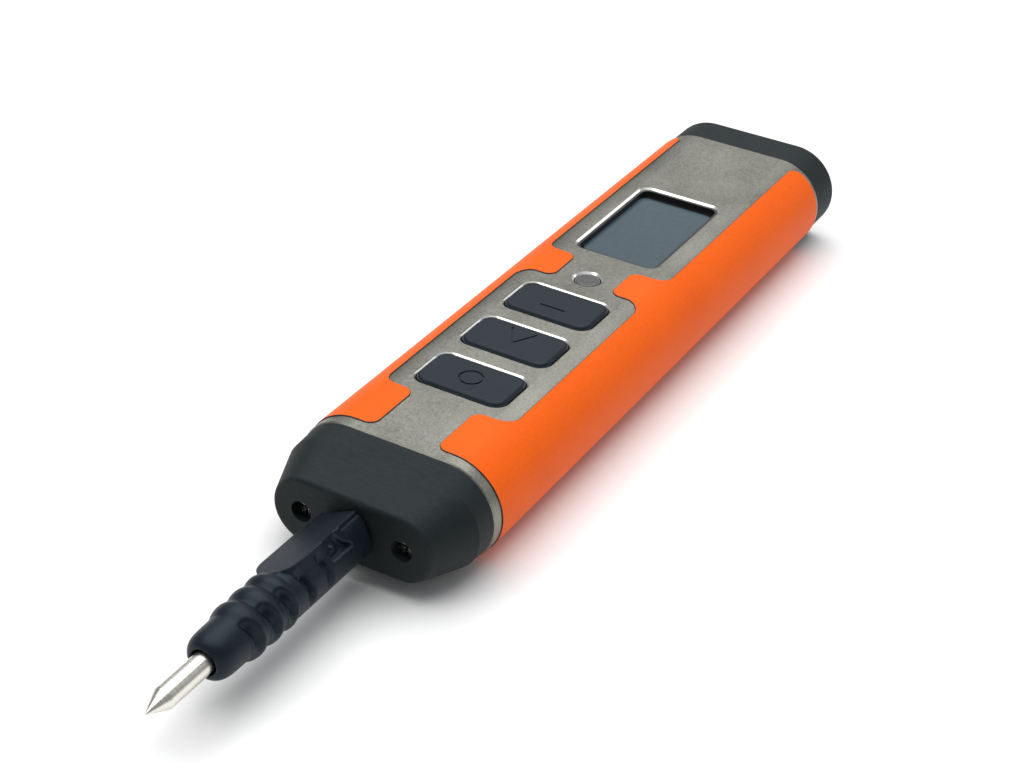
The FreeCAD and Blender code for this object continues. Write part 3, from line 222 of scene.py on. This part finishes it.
materials = {
    "tube_metal": blasted_steel(),
    "orange_coat": surface("coat_orange", (0.78, 0.100, 0.002), (0.90, 0.128, 0.003), 0.50,
                           grain=1500.0, depth=5e-6, specular=0.13).material,
    "cap_plastic": surface("cap_black", (0.0048, 0.0062, 0.0068), (0.0125, 0.0150, 0.0160), 0.62,
                           grain=1.0, depth=45e-6, stretch=(420.0, 3000.0, 3000.0),
                           rough_spread=0.1, specular=0.28, tint=(0.72, 0.90, 0.95)).material,
    "seal_rubber": surface("rubber_black", (0.012, 0.012, 0.013), (0.02, 0.02, 0.021), 0.7).material,
    "screw_steel": surface("screw_dark", (0.34, 0.34, 0.34), (0.50, 0.50, 0.50), 0.22, 1.0).material,
    "brass_parts": surface("brass_turned", (0.60, 0.42, 0.16), (0.72, 0.53, 0.24), 0.3, 1.0).material,
    "chassis_plastic": surface("chassis_grey", (0.06, 0.064, 0.07), (0.09, 0.095, 0.10), 0.5).material,
    "board_laminate": surface("board_green", (0.006, 0.10, 0.035), (0.012, 0.16, 0.06), 0.35,
                              coat=0.4).material,
    "chip_plastic": surface("chip_black", (0.015, 0.015, 0.017), (0.03, 0.03, 0.032), 0.5).material,
    "cell_jacket": surface("cell_blue", (0.07, 0.12, 0.24), (0.10, 0.17, 0.32), 0.3).material,
    "spring_metal": surface("nickel_sheet", (0.58, 0.55, 0.49), (0.70, 0.67, 0.60), 0.3, 1.0).material,
    "lcd_glass": surface("display_off", (0.075, 0.115, 0.14), (0.095, 0.14, 0.165), 0.25,
                         grain=900.0, depth=1e-6, rough_spread=0.03).material,
    "cover_glass": cover_glass(),
    "liner_black": surface("liner_dark", (0.004, 0.004, 0.0045), (0.008, 0.008, 0.009), 0.45).material,
    "holder_white": surface("moulding_white", (0.62, 0.62, 0.60), (0.75, 0.75, 0.73), 0.4).material,
    "lens_grey": surface("lens_smoke", (0.060, 0.062, 0.062), (0.088, 0.090, 0.088), 0.26,
                         grain=1800.0, depth=3e-6).material,
    "switch_metal": surface("switch_sheet", (0.45, 0.45, 0.45), (0.58, 0.58, 0.57), 0.35, 1.0).material,
    "key_slate": surface("keys_slate", (0.0065, 0.0105, 0.0145), (0.0115, 0.0165, 0.0215), 0.42,
                         grain=2600.0, depth=7e-6, specular=0.22, tint=(0.70, 0.88, 1.0)).material,
    "plated_brass": surface("nickel_plate", (0.60, 0.58, 0.53), (0.72, 0.70, 0.65), 0.22, 1.0).material,
    "pin_metal": surface("pin_nickel", (0.70, 0.67, 0.61), (0.86, 0.83, 0.77), 0.27, 1.0,
                         grain=1.0, depth=2.5e-6, stretch=(300.0, 9000.0, 300.0)).material,
    "boot_plastic": surface("boot_blueblack", (0.0045, 0.0075, 0.0115), (0.0085, 0.0125, 0.0185), 0.42,
                            grain=2600.0, depth=6e-6, specular=0.24, tint=(0.66, 0.84, 1.0)).material,
}

SHARP_CAD, SHARP_GRIP, SHARP_PIN = (math.radians(a) for a in (28, 50, 18))

slot_of = {s["node"]: s["material_slot"] for s in frame["record"]["subparts"]}
for name, obj in nodes.items():
    obj.data.materials.clear()
    obj.data.materials.append(materials[slot_of[name]])
    obj.data.shade_smooth()
    obj.data.set_sharp_from_angle(angle=SHARP_CAD)


def rounded(node, width, segments, angle):
    """Rounds a CAD node's edges, sharper than an angle in degrees, by a width in mm."""
    modifier = nodes[node].modifiers.new("rounding", "BEVEL")
    modifier.width = width * MM
    modifier.segments = segments
    modifier.limit_method = "ANGLE"
    modifier.angle_limit = math.radians(angle)
    modifier.harden_normals = True


# ---------------------------------------------------------------- probe pieces

TURN = math.radians(26.0)


def on_probe(across, along, rise):
    """A point of the probe, in mm from its axis and the tube's front edge, in the frame."""
    x = across * math.cos(TURN) - rise * math.sin(TURN)
    z = across * math.sin(TURN) + rise * math.cos(TURN)
    return (x * MM, FRONT + along * MM, AXIS_Z + z * MM)


def smooth_path(points, steps):
    """Samples of a Catmull-Rom curve through points."""
    out = []
    for i in range(len(points) - 1):
        quad = [points[max(0, min(len(points) - 1, j))] for j in (i - 1, i, i + 1, i + 2)]
        for k in range(steps):
            t = k / steps
            out.append(tuple(
                0.5 * (2 * b + (c - a) * t + (2 * a - 5 * b + 4 * c - d) * t * t
                       + (3 * b - a - 3 * c + d) * t ** 3)
                for a, b, c, d in zip(*quad)))
    out.append(points[-1])
    return out


def skin(name, rings, slot, body, sharp, closed):
    """A mesh over rings of points, all with the same count; closed gives it flat ends."""
    mesh = bpy.data.meshes.new(name)
    shape = bmesh.new()
    grid = [[shape.verts.new(p) for p in ring] for ring in rings]
    count = len(rings[0])
    for first, second in zip(grid, grid[1:]):
        for i in range(count):
            j = (i + 1) % count
            shape.faces.new((first[i], first[j], second[j], second[i]))
    if closed:
        shape.faces.new(grid[0])
        shape.faces.new(list(reversed(grid[-1])))
    bmesh.ops.recalc_face_normals(shape, faces=shape.faces)
    shape.to_mesh(mesh)
    shape.free()
    mesh.materials.append(materials[slot])
    mesh.shade_smooth()
    mesh.set_sharp_from_angle(angle=sharp)
    obj = bpy.data.objects.new(name, mesh)
    bpy.context.scene.collection.objects.link(obj)
    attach(obj, body)
    return obj


def step(edge, width, value):
    """0 below an edge, 1 above it, smooth over a width."""
    t = max(0.0, min(1.0, (value - edge) / width + 0.5))
    return t * t * (3 - 2 * t)


def hump(middle, half, value):
    """1 at the middle, 0 from half away, smooth between."""
    t = abs(value - middle) / half
    return 0.0 if t >= 1 else (1 - t * t) ** 2


def softly(first, second, blend, way):
    """Larger (way 1) or smaller (way -1) of two lengths, rounded where they meet."""
    h = max(0.0, blend - abs(first - second)) / blend
    chosen = max(first, second) if way > 0 else min(first, second)
    return chosen + way * h * h * blend / 4


# lengths of the grip in mm: along from the tube's front edge, the rest from the probe's axis
PANEL_FRONT, PANEL_TOP, PANEL_HALF = -35.2, 4.4, 4.5
CORE_RADIUS = 4.85
CUTS_FRONT = -50.5               # the nose before this place is plain
WELL_RADIUS = 4.0                # and so is the inside of the well
SLOTS = ((-47.5, 1.15), (-42.9, 1.4), (-38.4, 1.5), (-33.2, 1.5), (-28.0, 1.3))
SLOT_HALF = 1.2
GRIP_SIDES, PIN_SIDES = 192, 128


def boot_cuts(along, facing):
    """Depth cut from the grip's side: slots between the ribs, a pocket and a rear bulge."""
    depth = 0.0
    reach = step(-36.0, 44.0, facing) * (1 - step(31.0, 24.0, facing))
    for place, strength in SLOTS:
        centre = place + 0.022 * (60.0 - max(facing, -8.0))
        depth += strength * reach * hump(centre, SLOT_HALF, along)
    if along > -30.0:
        rear_edge = -22.5 + 0.075 * (45.0 - facing)
        pocket = step(-25.1, 0.5, along) * (1 - step(rear_edge, 0.5, along))
        pocket *= step(6.0, 12.0, facing) * (1 - step(42.0, 5.0, facing))
        depth += pocket * (0.95 - 0.8 * hump(-23.4, 1.3, along) * hump(25.0, 14.0, facing))
        tail = step(-20.3, 0.5, along)
        depth += tail * (0.55 * hump(42.5, 5.5, facing) - 0.30 * hump(24.0, 20.0, facing))
    return depth


def boot_radius(along, core, angle):
    """Distance of the grip's surface from the axis, by place along and round it."""
    up, side = math.sin(angle), abs(math.cos(angle))
    facing = math.degrees(math.atan2(up, side))
    surface_at = core
    if along >= PANEL_FRONT and up > 0.02:
        reach = min(1.0, (along - PANEL_FRONT) / 4.2)
        half = max(0.05, PANEL_HALF * math.sqrt(1 - (1 - reach) ** 2.1))
        panel = softly(PANEL_TOP / up, half / max(side, 1e-4), 0.35, -1)
        under = min(core, (PANEL_TOP - 0.1) / up)
        surface_at = softly(under, panel, 0.2, 1)
    return surface_at - boot_cuts(along, facing)


def grip():
    """Moulded grip: a raised flat panel over a ribbed round core, and a nose with a well."""
    back = boot_back
    ends = [(back, 0.39), (back, 0.70), (back, 0.93), (back - 0.10, 0.975), (back - 0.35, 1.0)]
    straight = [(back - 0.35 - 0.5 * i, CORE_RADIUS) for i in range(1, 40)]
    straight = [p for p in straight if p[0] > PANEL_FRONT]
    ribs = [(-35.3, 4.82), (-35.8, 4.98), (-36.6, 5.15), (-37.4, 5.02), (-38.0, 4.72),
            (-38.5, 4.5), (-39.0, 4.64), (-39.7, 4.98), (-40.6, 5.15), (-41.6, 5.04),
            (-42.3, 4.74), (-42.9, 4.5), (-43.4, 4.62), (-44.1, 4.96), (-45.0, 5.12),
            (-46.1, 4.98), (-46.9, 4.66), (-47.5, 4.42), (-48.2, 4.38), (-49.4, 4.36),
            (-50.5, 4.34), (-51.5, 4.29), (-52.3, 4.18), (-52.9, 4.00), (-53.45, 3.70),
            (-53.85, 3.32), (-54.1, 2.95), (-54.18, 2.70), (-54.1, 2.48), (-53.8, 2.34),
            (-53.3, 2.24), (-52.6, 2.12), (-52.2, 2.03)]
    path = [(y, CORE_RADIUS, share) for y, share in ends]
    path += [(y, r, 1.0) for y, r in smooth_path(straight + ribs, 4)]
    rings = []
    for along, core, share in path:
        ring = []
        for i in range(GRIP_SIDES):
            angle = 2 * math.pi * i / GRIP_SIDES
            length = core
            if along > CUTS_FRONT and core > WELL_RADIUS:
                length = boot_radius(along, core, angle)
            length *= share
            ring.append(on_probe(length * math.cos(angle), along, length * math.sin(angle)))
        rings.append(ring)
    obj = skin("grip_moulding", rings, "boot_plastic", "probe_body", SHARP_GRIP, False)
    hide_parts("probe_boot")


def pin():
    """Turned pin: a rounded point, a ground cone and a plain shank."""
    tip = pin_tip
    points = [(tip, 0.03), (tip + 0.05, 0.07), (tip + 2.1, 1.02), (tip + 4.22, 1.965),
              (tip + 4.34, 2.0), (tip + 4.6, 2.0), (tip + 12.0, 2.0), (pin_back, 2.0)]
    turns = [2 * math.pi * i / PIN_SIDES for i in range(PIN_SIDES)]
    rings = [[on_probe(r * math.cos(turn), along, r * math.sin(turn)) for turn in turns]
             for along, r in points]
    obj = skin("pin_turned", rings, "pin_metal", "probe_body", SHARP_PIN, True)
    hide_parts("probe_pin")


boot_back = (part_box("probe_boot")[1][1] - FRONT) / MM
pin_tip = (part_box("probe_pin")[0][1] - FRONT) / MM
pin_back = (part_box("probe_pin")[1][1] - FRONT) / MM
grip()
pin()


# ---------------------------------------------------------------- dark edge of the coloured sleeve

BEAD_RADIUS = 0.13               # in mm
BEAD_SINK = 0.14                 # the bead's axis lies this far under the sleeve's face, in mm
FACE_TOLERANCE = 0.05            # a point this near the sleeve's outer face is on it, in mm
CUT_ANGLE = math.radians(60)     # a cut edge turns by more than this


def sleeve_edges():
    """Thin dark bead along the sleeve's cut edges, sunk almost flush."""
    source = nodes["colour_sleeve"].data
    shape = bmesh.new()
    shape.from_mesh(source)
    bmesh.ops.remove_doubles(shape, verts=shape.verts, dist=1e-7)
    half_height = (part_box("colour_sleeve")[1][2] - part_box("colour_sleeve")[0][2]) / 2
    half_width = (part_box("colour_sleeve")[1][0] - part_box("colour_sleeve")[0][0]) / 2
    flat = half_width - half_height

    def outward(point):
        across = max(0.0, abs(point.x) - flat) * (1 if point.x > 0 else -1)
        return Vector((across, 0.0, point.z - AXIS_Z))

    links = {}
    for edge in shape.edges:
        if len(edge.link_faces) != 2 or edge.calc_face_angle(0.0) < CUT_ANGLE:
            continue
        first, second = edge.verts
        if all(outward(v.co).length > half_height - FACE_TOLERANCE * MM for v in edge.verts):
            links.setdefault(first.index, []).append(second.index)
            links.setdefault(second.index, []).append(first.index)
    shape.verts.ensure_lookup_table()
    places = {i: shape.verts[i].co.copy() for i in links}
    shape.free()
    curve = bpy.data.curves.new("sleeve_edge_line", "CURVE")
    curve.dimensions = "3D"
    curve.bevel_depth = BEAD_RADIUS * MM
    curve.bevel_resolution = 2
    unseen = set(links)
    while unseen:
        start = min(unseen)
        chain = [start]
        unseen.discard(start)
        while True:
            onward = [i for i in links[chain[-1]] if i in unseen]
            if not onward:
                break
            chain.append(onward[0])
            unseen.discard(onward[0])
        spline = curve.splines.new("POLY")
        spline.points.add(len(chain) - 1)
        for point, index in zip(spline.points, chain):
            place = places[index]
            place = place - outward(place).normalized() * (BEAD_SINK * MM)
            point.co = (*place, 1.0)
        spline.use_cyclic_u = start in links[chain[-1]]
    obj = bpy.data.objects.new("sleeve_edge_line", curve)
    line = surface("coat_edge", (0.030, 0.012, 0.007), (0.065, 0.026, 0.014), 0.6)
    curve.materials.append(line.material)
    bpy.context.scene.collection.objects.link(obj)
    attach(obj, "meter_body")


sleeve_edges()
rounded("front_cap", 0.9, 5, 15)
rounded("rear_cap", 0.4, 4, 15)
for key in ("front_key", "middle_key", "rear_key"):
    rounded(key, 0.35, 3, 30)
rounded("led_lens", 0.3, 3, 30)


# ---------------------------------------------------------------- floor, light and camera

FLOOR_HALF = 2.5                 # in metres
FLOOR_GAP = 0.00001              # keeps the floor clear of the underside, in metres


def floor():
    n = surface("floor_white", (0.90, 0.90, 0.90), (0.92, 0.92, 0.92), 0.9, specular=0.1,
                grain=400.0, depth=1e-6)
    mesh = bpy.data.meshes.new("floor")
    shape = bmesh.new()
    bmesh.ops.create_grid(shape, x_segments=8, y_segments=8, size=FLOOR_HALF)
    shape.to_mesh(mesh)
    shape.free()
    obj = bpy.data.objects.new("floor", mesh)
    obj.location = (0.0, 0.0, -FLOOR_GAP)
    mesh.materials.append(n.material)
    bpy.context.scene.collection.objects.link(obj)


def softbox(name, place, size, power):
    """A rectangular light of a power in watts, aimed at the object."""
    light = bpy.data.lights.new(name, "AREA")
    light.shape = "RECTANGLE"
    light.size, light.size_y = size
    light.energy = power
    obj = bpy.data.objects.new(name, light)
    obj.location = place
    way = -Vector(place)
    obj.rotation_euler = way.to_track_quat("-Z", "Y").to_euler()
    bpy.context.scene.collection.objects.link(obj)


floor()
world = bpy.data.worlds.new("studio")
world.use_nodes = True
tree = world.node_tree
tree.nodes["Background"].inputs["Color"].default_value = (0.97, 0.985, 1.0, 1.0)
tree.nodes["Background"].inputs["Strength"].default_value = 0.30
backdrop = tree.nodes.new("ShaderNodeBackground")
backdrop.inputs["Color"].default_value = (1.0, 1.0, 1.0, 1.0)
backdrop.inputs["Strength"].default_value = 1.0
seen = tree.nodes.new("ShaderNodeLightPath")
either = tree.nodes.new("ShaderNodeMixShader")
tree.links.new(seen.outputs["Is Camera Ray"], either.inputs[0])
tree.links.new(tree.nodes["Background"].outputs[0], either.inputs[1])
tree.links.new(backdrop.outputs[0], either.inputs[2])
tree.links.new(either.outputs[0], tree.nodes["World Output"].inputs["Surface"])
bpy.context.scene.world = world
softbox("softbox_front_left", (-0.50, -0.66, 0.90), (0.42, 0.42), 1.7)
softbox("softbox_behind", (-0.50, 0.90, 0.62), (1.3, 0.6), 1.05)
softbox("softbox_right", (0.60, 0.84, 0.46), (0.5, 0.34), 0.7)
sky = bpy.data.lights.new("sky_soft", "SUN")
sky.angle = math.radians(70.0)
sky.energy = 2.9
overhead = bpy.data.objects.new("sky_soft", sky)
overhead.rotation_euler = (math.radians(-12.0), math.radians(-7.0), 0.0)
bpy.context.scene.collection.objects.link(overhead)

bpy.context.scene.view_settings.view_transform = "Standard"

# the place, turn and lens of the photograph's camera, in metres, degrees and mm
CAMERA_PLACE = Vector((0.15183, -0.30491, 0.21213))
AZIMUTH, ELEVATION, ROLL = (math.radians(a) for a in (28.93, 32.65, 2.65))
back = Vector((math.sin(AZIMUTH) * math.cos(ELEVATION),
               -math.cos(AZIMUTH) * math.cos(ELEVATION), math.sin(ELEVATION)))
right = (-back).cross(Vector((0, 0, 1))).normalized()
up = right.cross(-back)
camera_right = right * math.cos(ROLL) + up * math.sin(ROLL)
camera_up = up * math.cos(ROLL) - right * math.sin(ROLL)
lens = bpy.data.cameras.new("camera")
lens.sensor_width = 36.0
lens.lens = 69.57
lens.clip_start = 0.01
camera = bpy.data.objects.new("camera", lens)
bpy.context.scene.collection.objects.link(camera)
matrix = camera.matrix_world.copy()
for row in range(3):
    matrix[row][0] = camera_right[row]
    matrix[row][1] = camera_up[row]
    matrix[row][2] = back[row]
    matrix[row][3] = CAMERA_PLACE[row]
camera.matrix_world = matrix
bpy.context.scene.camera = camera
